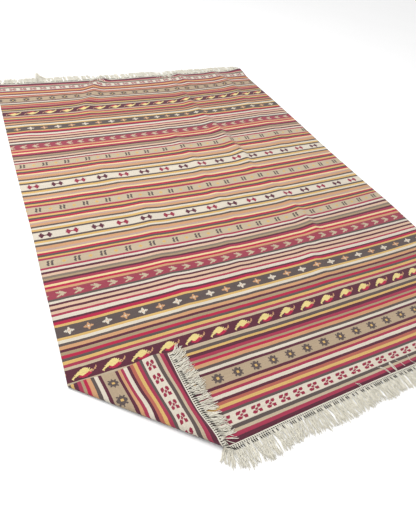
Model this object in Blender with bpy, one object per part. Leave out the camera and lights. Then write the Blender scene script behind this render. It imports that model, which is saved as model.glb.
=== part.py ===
"""A flat-woven kilim rug, 1.70 m by 2.40 m, laid on a floor.

The cloth is one thin sheet with its near left corner turned over, low lengthwise creases and a
pucker at the far end. A knotted fringe hangs off each end: its locks grow out of a narrow
twined cord that lies along the cloth's edge.

Cloth coordinates: "across" runs from the left selvedge to the right one, and "along" from the
near end to the far one. The model's frame has +X across, +Y along and +Z up, with the floor at
zero and the origin under the middle of the whole rug.
"""

import math

import bmesh
import bpy
from mathutils import Vector

# The cloth as it was woven
WIDTH = 1.70
LENGTH = 2.40
THICKNESS = 0.0035

# The middle of the whole rug, fringes included, in cloth coordinates
MIDDLE_ACROSS = 0.8507
MIDDLE_ALONG = 1.209

# The mesh: fine across the rug, because the creases run lengthwise
CELLS_ACROSS = 56
CELLS_ALONG = 28
FLAT_STEP = 0.0005

# The turned corner: which way it is rolled, and how far in from the corner the roll lies
FOLD_DIRECTION = math.radians(46.7)
FOLD_REACH = 0.2385
ROLL_RADIUS = 0.0088
ROLL_WIDENS = 0.016
ROLL_STEPS = 8
FLAP_GAP = 0.0015
FLAP_SETTLES_OVER = 0.07
FLAP_STEPS = (0.012, 0.026, 0.042, 0.07)

# The lifted corner at the far right
CORNER_LIFT = 0.012
CORNER_LIFT_REACH = 0.13

# How far the two selvedges stray to the right, in millimetres
SELVEDGE_COLUMNS = ("along", "left", "right")
SELVEDGE_ROWS = (
    (0.00, -2, 2),
    (0.04, -13, 2),
    (0.10, -9, 3),
    (0.17, -4, 4),
    (0.27, -12, 6),
    (0.36, -9, 7),
    (0.55, -5, 9),
    (0.80, -2, 12),
    (1.00, 3, 4),
    (1.30, 4, -2),
    (1.60, 6, 0),
    (1.90, 10, -2),
    (2.15, 15, -6),
    (2.40, 20, -8),
)

# How far the two ends stray away from the near side, in millimetres
END_COLUMNS = ("across", "near", "far")
END_ROWS = (
    (0.00, 3, 26),
    (0.10, 1, 13),
    (0.20, -4, 13),
    (0.36, -8, 9),
    (0.60, -4, 3),
    (0.75, -2, -1),
    (0.95, 0, 9),
    (1.10, -1, 5),
    (1.30, -1, 14),
    (1.45, 0, 14),
    (1.70, 0, 28),
)

# Creases: a soft foot on either side of a crest that wanders along the rug.
# Each has the widths of its two feet, and rows of where the crest is and its height in millimetres.
CREST_COLUMNS = ("along", "across", "height")
CREASES = {
    "spine": {
        "left": 0.085,
        "right": 0.038,
        "crest": (
            (0.62, 1.185, 0),
            (0.75, 1.190, 12),
            (0.93, 1.190, 8),
            (1.12, 1.178, 4),
            (1.25, 1.157, 6),
            (1.40, 1.160, 17),
            (1.52, 1.152, 12),
            (1.66, 1.145, 14),
            (1.80, 1.130, 7),
            (1.92, 1.120, 10),
            (2.05, 1.115, 12),
            (2.18, 1.120, 6),
            (2.40, 1.100, 4),
        ),
    },
    "near": {
        "left": 0.09,
        "right": 0.05,
        "crest": (
            (0.34, 1.07, 0),
            (0.44, 1.07, 4),
            (0.55, 1.07, 9),
            (0.62, 1.08, 6),
            (0.71, 1.09, 0),
        ),
    },
    "middle": {
        "left": 0.055,
        "right": 0.045,
        "crest": (
            (0.80, 0.860, 0),
            (0.93, 0.860, 4),
            (1.08, 0.855, 5),
            (1.20, 0.860, 4),
            (1.33, 0.870, 6),
            (1.55, 0.865, 6),
            (1.68, 0.860, 4),
            (1.80, 0.860, 0),
        ),
    },
    "left": {
        "left": 0.10,
        "right": 0.08,
        "crest": (
            (0.45, 0.460, 0),
            (0.57, 0.465, 6),
            (0.72, 0.455, 5),
            (0.88, 0.465, 3),
            (1.07, 0.490, 7),
            (1.20, 0.470, 4),
            (1.42, 0.385, 5),
            (1.56, 0.400, 0),
        ),
    },
    "pucker": {
        "left": 0.085,
        "right": 0.070,
        "crest": (
            (1.88, 0.470, 0),
            (2.00, 0.465, 6),
            (2.08, 0.462, 10),
            (2.14, 0.500, 11),
            (2.21, 0.545, 13),
            (2.30, 0.565, 17),
            (2.40, 0.640, 18),
        ),
    },
    "right": {
        "left": 0.11,
        "right": 0.05,
        "crest": (
            (1.35, 1.400, 0),
            (1.48, 1.480, 5),
            (1.62, 1.500, 3),
            (1.88, 1.490, 4),
            (2.08, 1.505, 9),
            (2.20, 1.508, 12),
            (2.32, 1.490, 12),
            (2.40, 1.465, 9),
        ),
    },
    "twin": {
        "left": 0.06,
        "right": 0.06,
        "crest": (
            (2.18, 1.205, 0),
            (2.29, 1.205, 8),
            (2.40, 1.185, 9),
        ),
    },
    "slip": {
        "left": 0.06,
        "right": 0.05,
        "crest": (
            (0.42, 0.735, 0),
            (0.58, 0.740, 3),
            (0.76, 0.750, 4),
            (0.92, 0.750, 0),
        ),
    },
    "edge": {
        "left": 0.12,
        "right": 0.16,
        "crest": (
            (1.70, 0.11, 0),
            (1.80, 0.11, 5),
            (1.87, 0.10, 5),
            (1.97, 0.10, 0),
        ),
    },
}

# The fringe: a cord along the cloth's end, and locks of warp that grow out of it
CORD_GAP = 0.0005
CORD_WIDTH = 0.007
LOCK_ROOT = 0.0095
LOCK_LENGTH = 0.070
LOCK_LIFT = 0.0006
FLAP_LOCK_LENGTH = 0.056

# Sections of a lock: how far out, how wide beside its root, and how high beside the cloth
LOCK_COLUMNS = ("out", "wide", "high")
LOCK_SECTIONS = (
    (0.32, 0.92, 0.95),
    (0.70, 0.78, 0.75),
    (1.00, 0.42, 0.0),
)
FAR_LOCK_SECTIONS = (
    (0.50, 0.88, 0.85),
    (1.00, 0.45, 0.0),
)

# Stretches of the near end, from the turned corner's tip to the right selvedge
SPAN_COLUMNS = ("start", "stop", "locks", "cells")
NEAR_SPANS = (
    (0.006, 0.306, 22, 2),
    (0.306, 0.334, 0, 5),
    (0.334, 0.349, 1, 1),
    (0.349, 0.364, 1, 1),
    (0.364, 0.384, 1, 1),
    (0.384, 1.694, 88, 4),
)
FAR_SPANS = (
    (0.006, 1.694, 112, 4),
)

# Headings of the locks that hang off the roll, in degrees from +X
ROLL_HEADINGS = {0: -118.0, 1: -104.0, 2: -96.0}
FLAP_HEADING = 0.0
NEAR_HEADING = -90.0
FAR_HEADING = 90.0
HEADING_SWAY = 3.2
FLAP_SWAY = 5.0

# Plain colours of the two stuffs
WOOL_COLOUR = (0.36, 0.20, 0.15, 1.0)
WARP_COLOUR = (0.68, 0.64, 0.52, 1.0)

MM = 0.001


def clear_scene():
    for item in list(bpy.data.objects):
        bpy.data.objects.remove(item, do_unlink=True)


def smooth(value):
    """A soft step from 0 to 1."""
    value = min(max(value, 0.0), 1.0)
    return value * value * (3.0 - 2.0 * value)


def read_row(rows, column, place):
    """A fair curve through one column of a table whose first column is the place."""
    if place <= rows[0][0]:
        return rows[0][column]
    if place >= rows[-1][0]:
        return rows[-1][column]
    index = 1
    while rows[index][0] < place:
        index += 1
    before = rows[max(index - 2, 0)]
    start = rows[index - 1]
    stop = rows[index]
    after = rows[min(index + 1, len(rows) - 1)]
    span = stop[0] - start[0]
    part = (place - start[0]) / span
    slope_in = (stop[column] - before[column]) / (stop[0] - before[0]) * span
    slope_out = (after[column] - start[column]) / (after[0] - start[0]) * span
    square = part * part
    cube = square * part
    return (
        (2 * cube - 3 * square + 1) * start[column]
        + (cube - 2 * square + part) * slope_in
        + (3 * square - 2 * cube) * stop[column]
        + (cube - square) * slope_out
    )


def laid_out(across, along):
    """Where a point of the cloth lies on the floor before the corner is turned over."""
    side = min(max(across / WIDTH, 0.0), 1.0)
    end = min(max(along / LENGTH, 0.0), 1.0)
    left = read_row(SELVEDGE_ROWS, SELVEDGE_COLUMNS.index("left"), along)
    right = read_row(SELVEDGE_ROWS, SELVEDGE_COLUMNS.index("right"), along)
    near = read_row(END_ROWS, END_COLUMNS.index("near"), across)
    far = read_row(END_ROWS, END_COLUMNS.index("far"), across)
    return (
        across + MM * (left * (1.0 - side) + right * side),
        along + MM * (near * (1.0 - end) + far * end),
    )


def crease_profile(distance, left, right):
    """The height of a crease beside its crest, from 1 at the crest to 0 at its foot."""
    reach = left if distance < 0.0 else right
    part = 1.0 - min(abs(distance) / reach, 1.0)
    return 0.5 * smooth(part) + 0.5 * part * part


def crease_height(across, along):
    """How far the creases lift the cloth off the floor."""
    total = 0.0
    for crease in CREASES.values():
        rows = crease["crest"]
        if along < rows[0][0] - FLAT_STEP:
            continue
        if along > rows[-1][0] and rows[-1][2] == 0:
            continue
        crest = read_row(rows, CREST_COLUMNS.index("across"), along)
        height = max(read_row(rows, CREST_COLUMNS.index("height"), along), 0.0)
        total += MM * height * crease_profile(across - crest, crease["left"], crease["right"])
    reach = math.hypot(WIDTH - across, LENGTH - along)
    total += CORNER_LIFT * smooth(1.0 - reach / CORNER_LIFT_REACH)
    return total


def cloth_point(across, along):
    """The middle of the cloth's thickness, with the corner turned over."""
    x, y = laid_out(across, along)
    inward = x * math.cos(FOLD_DIRECTION) + y * math.sin(FOLD_DIRECTION)
    beside = x * math.sin(FOLD_DIRECTION) - y * math.cos(FOLD_DIRECTION)
    radius = ROLL_RADIUS + ROLL_WIDENS * beside
    past = FOLD_REACH + radius - inward
    if radius <= 0.0 or past <= 0.0:
        height = 0.5 * THICKNESS + crease_height(across, along)
        return Vector((x - MIDDLE_ACROSS, y - MIDDLE_ALONG, height))
    if past < math.pi * radius:
        turn = past / radius
        inward = FOLD_REACH + radius - radius * math.sin(turn)
        height = 0.5 * THICKNESS + radius * (1.0 - math.cos(turn))
    else:
        beyond = past - math.pi * radius
        inward = FOLD_REACH + radius + beyond
        resting = 1.5 * THICKNESS + FLAP_GAP
        lifted = 0.5 * THICKNESS + 2.0 * radius
        height = resting + (lifted - resting) * (1.0 - smooth(beyond / FLAP_SETTLES_OVER))
    x = inward * math.cos(FOLD_DIRECTION) + beside * math.sin(FOLD_DIRECTION)
    y = inward * math.sin(FOLD_DIRECTION) - beside * math.cos(FOLD_DIRECTION)
    return Vector((x - MIDDLE_ACROSS, y - MIDDLE_ALONG, height))


def cloth_faces(across, along):
    """The two points on the cloth's upper and lower faces at one place."""
    step = 2.0 * FLAT_STEP
    middle = cloth_point(across, along)
    sideways = cloth_point(across + step, along) - cloth_point(across - step, along)
    lengthways = cloth_point(across, along + step) - cloth_point(across, along - step)
    normal = sideways.cross(lengthways).normalized()
    upper = middle + normal * (0.5 * THICKNESS)
    lower = middle - normal * (0.5 * THICKNESS)
    upper.z = max(upper.z, 0.0)
    lower.z = max(lower.z, 0.0)
    return upper, lower


def flat_sheet():
    """The cloth's outline as a flat grid, cut along the lines of the roll."""
    sheet = bmesh.new()
    bmesh.ops.create_grid(sheet, x_segments=CELLS_ACROSS, y_segments=CELLS_ALONG, size=0.5)
    for vert in sheet.verts:
        vert.co.x = (vert.co.x + 0.5) * WIDTH
        vert.co.y = (vert.co.y + 0.5) * LENGTH
    inward = Vector((math.cos(FOLD_DIRECTION), math.sin(FOLD_DIRECTION), 0.0))
    beside = Vector((math.sin(FOLD_DIRECTION), -math.cos(FOLD_DIRECTION), 0.0))
    turns = [(math.pi * step / ROLL_STEPS, 0.0) for step in range(ROLL_STEPS + 1)]
    turns += [(math.pi, distance) for distance in FLAP_STEPS]
    for turn, distance in turns:
        place = inward * (FOLD_REACH + (1.0 - turn) * ROLL_RADIUS - distance)
        across_line = inward - beside * ((1.0 - turn) * ROLL_WIDENS)
        parts = list(sheet.verts) + list(sheet.edges) + list(sheet.faces)
        bmesh.ops.bisect_plane(sheet, geom=parts, dist=FLAT_STEP, plane_co=place, plane_no=across_line)
    bmesh.ops.triangulate(sheet, faces=sheet.faces)
    return sheet


def make_cloth():
    """The rug's cloth: the flat sheet's two faces, folded, and a rim between them."""
    flat = flat_sheet()
    body = bmesh.new()
    upper = {}
    lower = {}
    for vert in flat.verts:
        high, low = cloth_faces(vert.co.x, vert.co.y)
        upper[vert.index] = body.verts.new(high)
        lower[vert.index] = body.verts.new(low)
    for face in flat.faces:
        body.faces.new([upper[vert.index] for vert in face.verts])
        body.faces.new([lower[vert.index] for vert in reversed(face.verts)])
    for edge in flat.edges:
        if edge.is_boundary:
            start, stop = edge.verts[0].index, edge.verts[1].index
            body.faces.new((upper[start], upper[stop], lower[stop], lower[start]))
    flat.free()
    return body


def support_under(x, y):
    """The height of what a loose lock lies on: the cloth or the floor."""
    across = x + MIDDLE_ACROSS
    along = y + MIDDLE_ALONG
    if 0.0 < across < WIDTH and 0.0 < along < LENGTH:
        return THICKNESS + LOCK_LIFT
    return 0.0


def sway_of(number):
    """A steady, uneven sway between -1 and 1."""
    slow = math.sin(0.71 * number + 0.4)
    quick = math.sin(2.39 * number + 1.1)
    return 0.65 * slow + 0.35 * quick


def end_place(end, out):
    """The cloth coordinate of a line that lies outside one end of the cloth."""
    return -out if end == "near" else LENGTH + out


def add_section(body, centre, sideways, half, low, high):
    """Four points of a lock's section: low left, low right, high right and high left."""
    left = centre - sideways * half
    right = centre + sideways * half
    corners = ((left, low), (right, low), (right, high), (left, high))
    return [body.verts.new((point.x, point.y, height)) for point, height in corners]


def add_lock(body, root, sections, heading, length, number):
    """A lock of warp that leaves the cord and comes down to what lies under it."""
    centre = sum((vert.co for vert in root), Vector()) / len(root)
    low = min(vert.co.z for vert in root)
    last = root
    for out, wide, high in sections:
        angle = math.radians(heading + HEADING_SWAY * sway_of(number + 31) * out)
        forward = Vector((math.cos(angle), math.sin(angle), 0.0))
        place = centre + forward * (length * out)
        sideways = Vector((-forward.y, forward.x, 0.0))
        ground = support_under(place.x, place.y)
        base = ground + max(low - ground, 0.0) * (1.0 - smooth(1.6 * out))
        half = 0.5 * LOCK_ROOT * wide
        if high == 0.0:
            tip = [body.verts.new((*(place + sideways * side * half).xy, base)) for side in (-1, 1)]
            order = tip if (last[0].co - tip[0].co).length < (last[0].co - tip[1].co).length else tip[::-1]
            body.faces.new((last[0], last[1], order[1], order[0]))
            body.faces.new((last[3], last[2], order[1], order[0]))
            body.faces.new((last[0], last[3], order[0]))
            body.faces.new((last[1], last[2], order[1]))
            return
        ring = add_section(body, place, sideways, half, base, base + THICKNESS * high)
        if (last[0].co - ring[0].co).length > (last[0].co - ring[1].co).length:
            ring = [ring[1], ring[0], ring[3], ring[2]]
        for corner in range(4):
            following = (corner + 1) % 4
            body.faces.new((last[corner], last[following], ring[following], ring[corner]))
        last = ring


def span_stations(start, stop, locks):
    """Places along a span's outer side, and which of the stretches between them hold a lock."""
    if locks == 0:
        return [start, stop], [False]
    pitch = (stop - start) / locks
    places = [start]
    holds = []
    for number in range(locks):
        centre = start + (number + 0.5) * pitch
        places += [centre - 0.5 * LOCK_ROOT, centre + 0.5 * LOCK_ROOT]
        holds += [False, True]
    places.append(stop)
    holds.append(False)
    return places, holds


def lock_habit(end, group, number, place):
    """The heading and length of one lock."""
    if end == "far":
        return FAR_HEADING + HEADING_SWAY * sway_of(number), LOCK_LENGTH
    if group == 0:
        return FLAP_HEADING + FLAP_SWAY * sway_of(number), FLAP_LOCK_LENGTH
    if group < len(NEAR_SPANS) - 1:
        return ROLL_HEADINGS[group - 2], 0.8 * LOCK_LENGTH
    return NEAR_HEADING + HEADING_SWAY * sway_of(number), LOCK_LENGTH


def make_fringe(end, spans, sections):
    """One end's cord with all its locks, as a single closed body."""
    body = bmesh.new()
    inner = {}
    outer = {}

    def corner_pair(store, place, out):
        if place not in store:
            high, low = cloth_faces(place, end_place(end, out))
            store[place] = (body.verts.new(low), body.verts.new(high))
        return store[place]

    number = 0
    for group, (start, stop, locks, cells) in enumerate(spans):
        places, holds = span_stations(start, stop, locks)
        if locks == 0:
            places = [start + (stop - start) * cell / cells for cell in range(cells + 1)]
            holds = [False] * cells
            cells = 1
        else:
            cells = 2 * cells + 1 if locks <= cells else 2 * cells
        for first in range(0, len(holds), cells):
            last = min(first + cells, len(holds))
            outside = [corner_pair(outer, place, CORD_GAP + CORD_WIDTH) for place in places[first:last + 1]]
            near_pair = corner_pair(inner, places[first], CORD_GAP)
            far_pair = corner_pair(inner, places[last], CORD_GAP)
            turn = len(outside) // 2
            for level in (0, 1):
                for spot in range(len(outside) - 1):
                    hub = near_pair if spot < turn else far_pair
                    body.faces.new((hub[level], outside[spot][level], outside[spot + 1][level]))
                body.faces.new((near_pair[level], outside[turn][level], far_pair[level]))
            body.faces.new((near_pair[0], near_pair[1], far_pair[1], far_pair[0]))
            for spot in range(len(outside) - 1):
                this, following = outside[spot], outside[spot + 1]
                ring = (this[0], following[0], following[1], this[1])
                if not holds[first + spot]:
                    body.faces.new(ring)
                    continue
                heading, length = lock_habit(end, group, number, places[first + spot])
                length *= 1.0 + 0.10 * sway_of(1.7 * number + 5.0)
                add_lock(body, ring, sections, heading, length, number)
                number += 1
    for place in (spans[0][0], spans[-1][1]):
        body.faces.new((*inner[place], *reversed(outer[place])))
    return body


def make_material(name, colour, roughness):
    material = bpy.data.materials.new(name)
    material.use_nodes = True
    shader = material.node_tree.nodes["Principled BSDF"]
    shader.inputs["Base Color"].default_value = colour
    shader.inputs["Roughness"].default_value = roughness
    shader.inputs["Metallic"].default_value = 0.0
    return material


def add_object(name, body, material):
    bmesh.ops.triangulate(body, faces=body.faces)
    bmesh.ops.recalc_face_normals(body, faces=body.faces)
    mesh = bpy.data.meshes.new(name)
    body.to_mesh(mesh)
    body.free()
    mesh.materials.append(material)
    part = bpy.data.objects.new(name, mesh)
    bpy.context.scene.collection.objects.link(part)
    return part


def main():
    clear_scene()
    wool = make_material("wool", WOOL_COLOUR, 0.95)
    warp = make_material("warp", WARP_COLOUR, 0.9)
    add_object("rug", make_cloth(), wool)
    add_object("fringe_near", make_fringe("near", NEAR_SPANS, LOCK_SECTIONS), warp)
    add_object("fringe_far", make_fringe("far", FAR_SPANS, FAR_LOCK_SECTIONS), warp)


main()
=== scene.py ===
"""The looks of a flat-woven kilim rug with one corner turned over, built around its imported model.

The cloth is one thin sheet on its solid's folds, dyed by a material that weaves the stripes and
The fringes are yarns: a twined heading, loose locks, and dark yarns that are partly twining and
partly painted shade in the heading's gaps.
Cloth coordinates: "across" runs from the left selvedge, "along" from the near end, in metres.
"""

import math

import bmesh
import bpy
import numpy as np
from mathutils import Matrix, Vector


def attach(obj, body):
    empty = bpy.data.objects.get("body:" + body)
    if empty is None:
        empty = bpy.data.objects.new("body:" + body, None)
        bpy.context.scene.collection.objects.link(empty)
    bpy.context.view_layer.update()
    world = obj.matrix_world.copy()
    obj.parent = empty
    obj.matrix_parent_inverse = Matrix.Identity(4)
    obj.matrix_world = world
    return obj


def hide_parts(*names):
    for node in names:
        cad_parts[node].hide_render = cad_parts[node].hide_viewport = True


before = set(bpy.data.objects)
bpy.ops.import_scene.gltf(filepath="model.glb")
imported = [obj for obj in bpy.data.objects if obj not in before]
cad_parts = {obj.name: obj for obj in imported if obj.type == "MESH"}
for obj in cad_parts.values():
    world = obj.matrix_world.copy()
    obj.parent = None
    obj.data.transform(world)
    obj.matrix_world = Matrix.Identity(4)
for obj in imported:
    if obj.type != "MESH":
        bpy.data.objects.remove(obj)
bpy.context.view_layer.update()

MM = 0.001

# The cloth as it was woven, and the middle of the whole rug in cloth coordinates
WIDTH = 1.70
LENGTH = 2.40
THICKNESS = 0.0035
MIDDLE_ACROSS = 0.8507
MIDDLE_ALONG = 1.209
EDGE_BULGE = 0.0009

# The turned corner
FOLD_DIRECTION = math.radians(46.7)
FOLD_REACH = 0.2385
ROLL_RADIUS = 0.0088
ROLL_WIDENS = 0.016
FLAP_GAP = 0.0015
FLAP_SETTLES_OVER = 0.07
FOLD_STARTS_BESIDE = -0.5

# The lifted corner at the far right
CORNER_LIFT = 0.012
CORNER_LIFT_REACH = 0.13

# The mesh of the cloth
CELLS_ACROSS = 190
CELLS_ALONG = 190
ROLL_STEPS = 24
FLAP_STEPS = (0.006, 0.013, 0.021, 0.03, 0.04, 0.052, 0.066)
SAME_LINE = 0.0003
CUT_MARGIN = 0.05
PATTERN_SEARCHES = 6

# Slight unevenness of the whole cloth
RIPPLE_HEIGHT = 0.0011
FINER_RIPPLE = (2.3, -1.7, 2.0)
RIPPLES = ((11.0, 3.0, 0.4), (4.0, 9.0, 1.7), (17.0, 6.5, 3.1), (7.5, 14.0, 5.2))

# How far the two selvedges stray to the right, in millimetres
SELVEDGE_COLUMNS = ("along", "left", "right")
SELVEDGE_ROWS = (
    (0.00, -2, 2),
    (0.04, -13, 2),
    (0.10, -9, 3),
    (0.17, -4, 4),
    (0.27, -12, 6),
    (0.36, -9, 7),
    (0.55, -5, 9),
    (0.80, -2, 12),
    (1.00, 3, 4),
    (1.30, 4, -2),
    (1.60, 6, 0),
    (1.90, 10, -2),
    (2.15, 15, -6),
    (2.40, 20, -8),
)

# How far the two ends stray away from the near side, in millimetres
END_COLUMNS = ("across", "near", "far")
END_ROWS = (
    (0.00, 7, 26),
    (0.10, 8, 13),
    (0.20, 5, 13),
    (0.30, -4, 11),
    (0.36, -8, 9),
    (0.60, -4, 3),
    (0.75, -2, -1),
    (0.95, 0, 9),
    (1.10, -1, 5),
    (1.30, -1, 14),
    (1.45, 0, 14),
    (1.70, 0, 28),
)

# Creases, as in the model: the widths of the two feet, and rows of along, across, height in mm
CREASES = {
    "spine": {
        "left": 0.085,
        "right": 0.038,
        "crest": (
            (0.62, 1.185, 0), (0.75, 1.190, 12), (0.93, 1.190, 8), (1.12, 1.178, 4),
            (1.25, 1.157, 6), (1.40, 1.160, 17), (1.52, 1.152, 12), (1.66, 1.145, 14),
            (1.80, 1.130, 7), (1.92, 1.120, 10), (2.05, 1.115, 12), (2.18, 1.120, 6),
            (2.40, 1.100, 4),
        ),
    },
    "near": {
        "left": 0.09,
        "right": 0.05,
        "crest": (
            (0.34, 1.07, 0), (0.44, 1.07, 4), (0.55, 1.07, 9), (0.62, 1.08, 6), (0.71, 1.09, 0),
        ),
    },
    "middle": {
        "left": 0.055,
        "right": 0.045,
        "crest": (
            (0.80, 0.860, 0), (0.93, 0.860, 4), (1.08, 0.855, 5), (1.20, 0.860, 4),
            (1.33, 0.870, 6), (1.55, 0.865, 6), (1.68, 0.860, 4), (1.80, 0.860, 0),
        ),
    },
    "left": {
        "left": 0.10,
        "right": 0.08,
        "crest": (
            (0.45, 0.460, 0), (0.57, 0.465, 6), (0.72, 0.455, 5), (0.88, 0.465, 3),
            (1.07, 0.490, 7), (1.20, 0.470, 4), (1.42, 0.385, 5), (1.56, 0.400, 0),
        ),
    },
    "pucker": {
        "left": 0.085,
        "right": 0.070,
        "crest": (
            (1.88, 0.470, 0), (2.00, 0.465, 6), (2.08, 0.462, 10), (2.14, 0.500, 11),
            (2.21, 0.545, 13), (2.30, 0.565, 17), (2.40, 0.640, 18),
        ),
    },
    "right": {
        "left": 0.11,
        "right": 0.05,
        "crest": (
            (1.35, 1.400, 0), (1.48, 1.480, 5), (1.62, 1.500, 3), (1.88, 1.490, 4),
            (2.08, 1.505, 9), (2.20, 1.508, 12), (2.32, 1.490, 12), (2.40, 1.465, 9),
        ),
    },
    "twin": {
        "left": 0.06,
        "right": 0.06,
        "crest": (
            (2.18, 1.205, 0), (2.29, 1.205, 8), (2.40, 1.185, 9),
        ),
    },
    "slip": {
        "left": 0.06,
        "right": 0.05,
        "crest": (
            (0.42, 0.735, 0), (0.58, 0.740, 3), (0.76, 0.750, 4), (0.92, 0.750, 0),
        ),
    },
    "edge": {
        "left": 0.12,
        "right": 0.16,
        "crest": (
            (1.70, 0.11, 0), (1.80, 0.11, 5), (1.87, 0.10, 5), (1.97, 0.10, 0),
        ),
    },
}

# How far the woven bands stray from straight, in millimetres: rows along, columns across
DRIFT_ACROSS = (0.0, 0.07, 0.15, 0.25, 0.40, 0.80, 1.10, 1.40, 1.70)
DRIFT_ROWS = (
    (0.000, (6, 5, 2, -3, -5, -1, -1, -1, -1)),
    (0.048, (7, 5, -3, -6, -5, -7, -8, -9, -9)),
    (0.088, (6, 4, -3, -8, -6, -10, -14, -15, -15)),
    (0.145, (9, 4, -6, -7, -7, -11, -14, -15, -15)),
    (0.205, (4, -2, -6, -7, -6, -12, -14, -14, -14)),
    (0.280, (4, 0, -6, -9, -8, -14, -17, -15, -14)),
    (0.379, (-10, -11, -10, -11, -12, -19, -19, -19, -16)),
    (0.551, (-10, -13, -14, -13, -15, -20, -24, -27, -21)),
    (0.630, (-6, -7, -8, -9, -12, -21, -28, -32, -28)),
    (0.714, (-5, -7, -8, -11, -15, -28, -31, -31, -28)),
    (0.790, (0, -2, -5, -8, -14, -27, -26, -23, -14)),
    (0.874, (-3, -5, -8, -10, -15, -30, -31, -25, -9)),
    (0.950, (-5, -8, -10, -11, -15, -28, -32, -28, -19)),
    (1.036, (-2, -5, -7, -9, -15, -27, -29, -26, -20)),
    (1.120, (-6, -7, -9, -10, -15, -29, -31, -26, -16)),
    (1.200, (-2, -5, -9, -10, -15, -28, -22, -16, -5)),
    (1.280, (-3, -6, -7, -7, -11, -16, -13, -4, 7)),
    (1.366, (3, -1, -2, -2, -3, -10, -6, 0, 5)),
    (1.450, (7, 3, 2, 2, 2, -4, -1, 4, 15)),
    (1.528, (11, 8, 7, 7, 7, 3, 9, 17, 22)),
    (1.610, (7, 4, 2, 1, 3, 2, 6, 20, 28)),
    (1.687, (20, 19, 17, 16, 14, 12, 16, 34, 39)),
    (1.770, (36, 30, 20, 19, 19, 19, 25, 36, 47)),
    (1.850, (31, 26, 24, 24, 26, 24, 28, 38, 49)),
    (1.940, (35, 31, 27, 22, 21, 22, 24, 39, 48)),
    (2.022, (34, 28, 25, 24, 24, 20, 26, 38, 52)),
    (2.110, (22, 19, 18, 16, 20, 18, 14, 28, 40)),
    (2.195, (20, 17, 16, 16, 15, 10, 10, 24, 33)),
    (2.332, (18, 16, 13, 8, 8, 0, 15, 22, 20)),
    (2.400, (14, 12, 8, 4, 2, -6, 5, 12, 20)),
)

# Dyes of the wool and of the warp, as they look in plain light (0 to 255)
DYES = {
    "plum": (100, 50, 65),
    "rose": (176, 62, 88),
    "sand": (192, 170, 142),
    "old rose": (166, 72, 88),
    "stone": (206, 188, 160),
    "charcoal": (101, 88, 85),
    "ivory": (232, 222, 204),
    "gold": (228, 188, 116),
    "terracotta": (190, 108, 92),
    "apricot": (217, 166, 122),
    "red": (191, 45, 78),
    "khaki": (180, 156, 124),
    "lemon": (246, 218, 164),
    "mauve": (198, 168, 156),
    "peach": (230, 196, 168),
    "taupe": (140, 124, 112),
    "straw": (243, 222, 148),
    "madder": (160, 52, 76),
    "warp": (250, 245, 229),
    # The dark twining yarn; its colour also stands for painted shade in the gaps of the heading
    "gap_shade_stitch": (52, 46, 46),
}

# Half of the rug from its near end to its middle: dye, width in millimetres, and any motifs
STRIPES = (
    ("plum", 13.6), ("rose", 13.1), ("stone", 10.0), ("charcoal", 12.1),
    ("ivory", 40.3, "checks"),
    ("charcoal", 9.4), ("rose", 10.5), ("gold", 10.5), ("terracotta", 10.5), ("plum", 9.9),
    ("ivory", 13.1), ("rose", 9.4), ("apricot", 10.5), ("plum", 10.5),
    ("sand", 46.0, "stars"),
    ("plum", 9.4), ("ivory", 11.5), ("charcoal", 10.4), ("apricot", 13.6), ("red", 10.4),
    ("khaki", 9.4), ("rose", 12.5), ("plum", 12.5), ("gold", 10.4), ("charcoal", 12.5),
    ("stone", 13.5),
    ("plum", 48.9, "peppers"),
    ("stone", 11.4), ("rose", 11.4), ("gold", 12.5), ("charcoal", 10.4), ("red", 11.9),
    ("khaki", 11.9), ("plum", 10.4), ("apricot", 13.5), ("charcoal", 9.9), ("ivory", 13.0),
    ("gold", 9.3),
    ("charcoal", 44.6, "crosses"),
    ("gold", 9.3), ("red", 11.4), ("plum", 9.3), ("ivory", 14.5), ("rose", 9.3), ("peach", 13.4),
    ("plum", 10.3), ("peach", 13.4), ("plum", 9.3), ("ivory", 11.4), ("charcoal", 9.3),
    ("old rose", 39.2, "arrows"),
    ("apricot", 10.3), ("red", 10.3), ("lemon", 10.3), ("rose", 11.3), ("plum", 9.3),
    ("khaki", 9.3), ("taupe", 11.3), ("peach", 12.4), ("plum", 12.4), ("ivory", 11.3),
    ("rose", 10.3),
    ("stone", 43.2, "bars"),
    ("rose", 10.3), ("gold", 9.2), ("charcoal", 11.3), ("red", 10.3), ("lemon", 9.2),
    ("mauve", 12.3), ("apricot", 16.4), ("charcoal", 10.3), ("ivory", 9.2), ("gold", 11.3),
    ("charcoal", 10.3),
    ("ivory", 41.0, "bows"),
    ("charcoal", 10.2), ("gold", 12.3), ("ivory", 11.3), ("charcoal", 10.2), ("apricot", 13.3),
    ("mauve", 10.2), ("lemon", 10.2), ("red", 11.2), ("charcoal", 10.2), ("gold", 11.2),
    ("rose", 12.3),
    ("stone", 44.9, "middle bars"),
)
FIRST_STRIPE = -0.0012
STRIPES_PER_RAMP = 15

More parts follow.
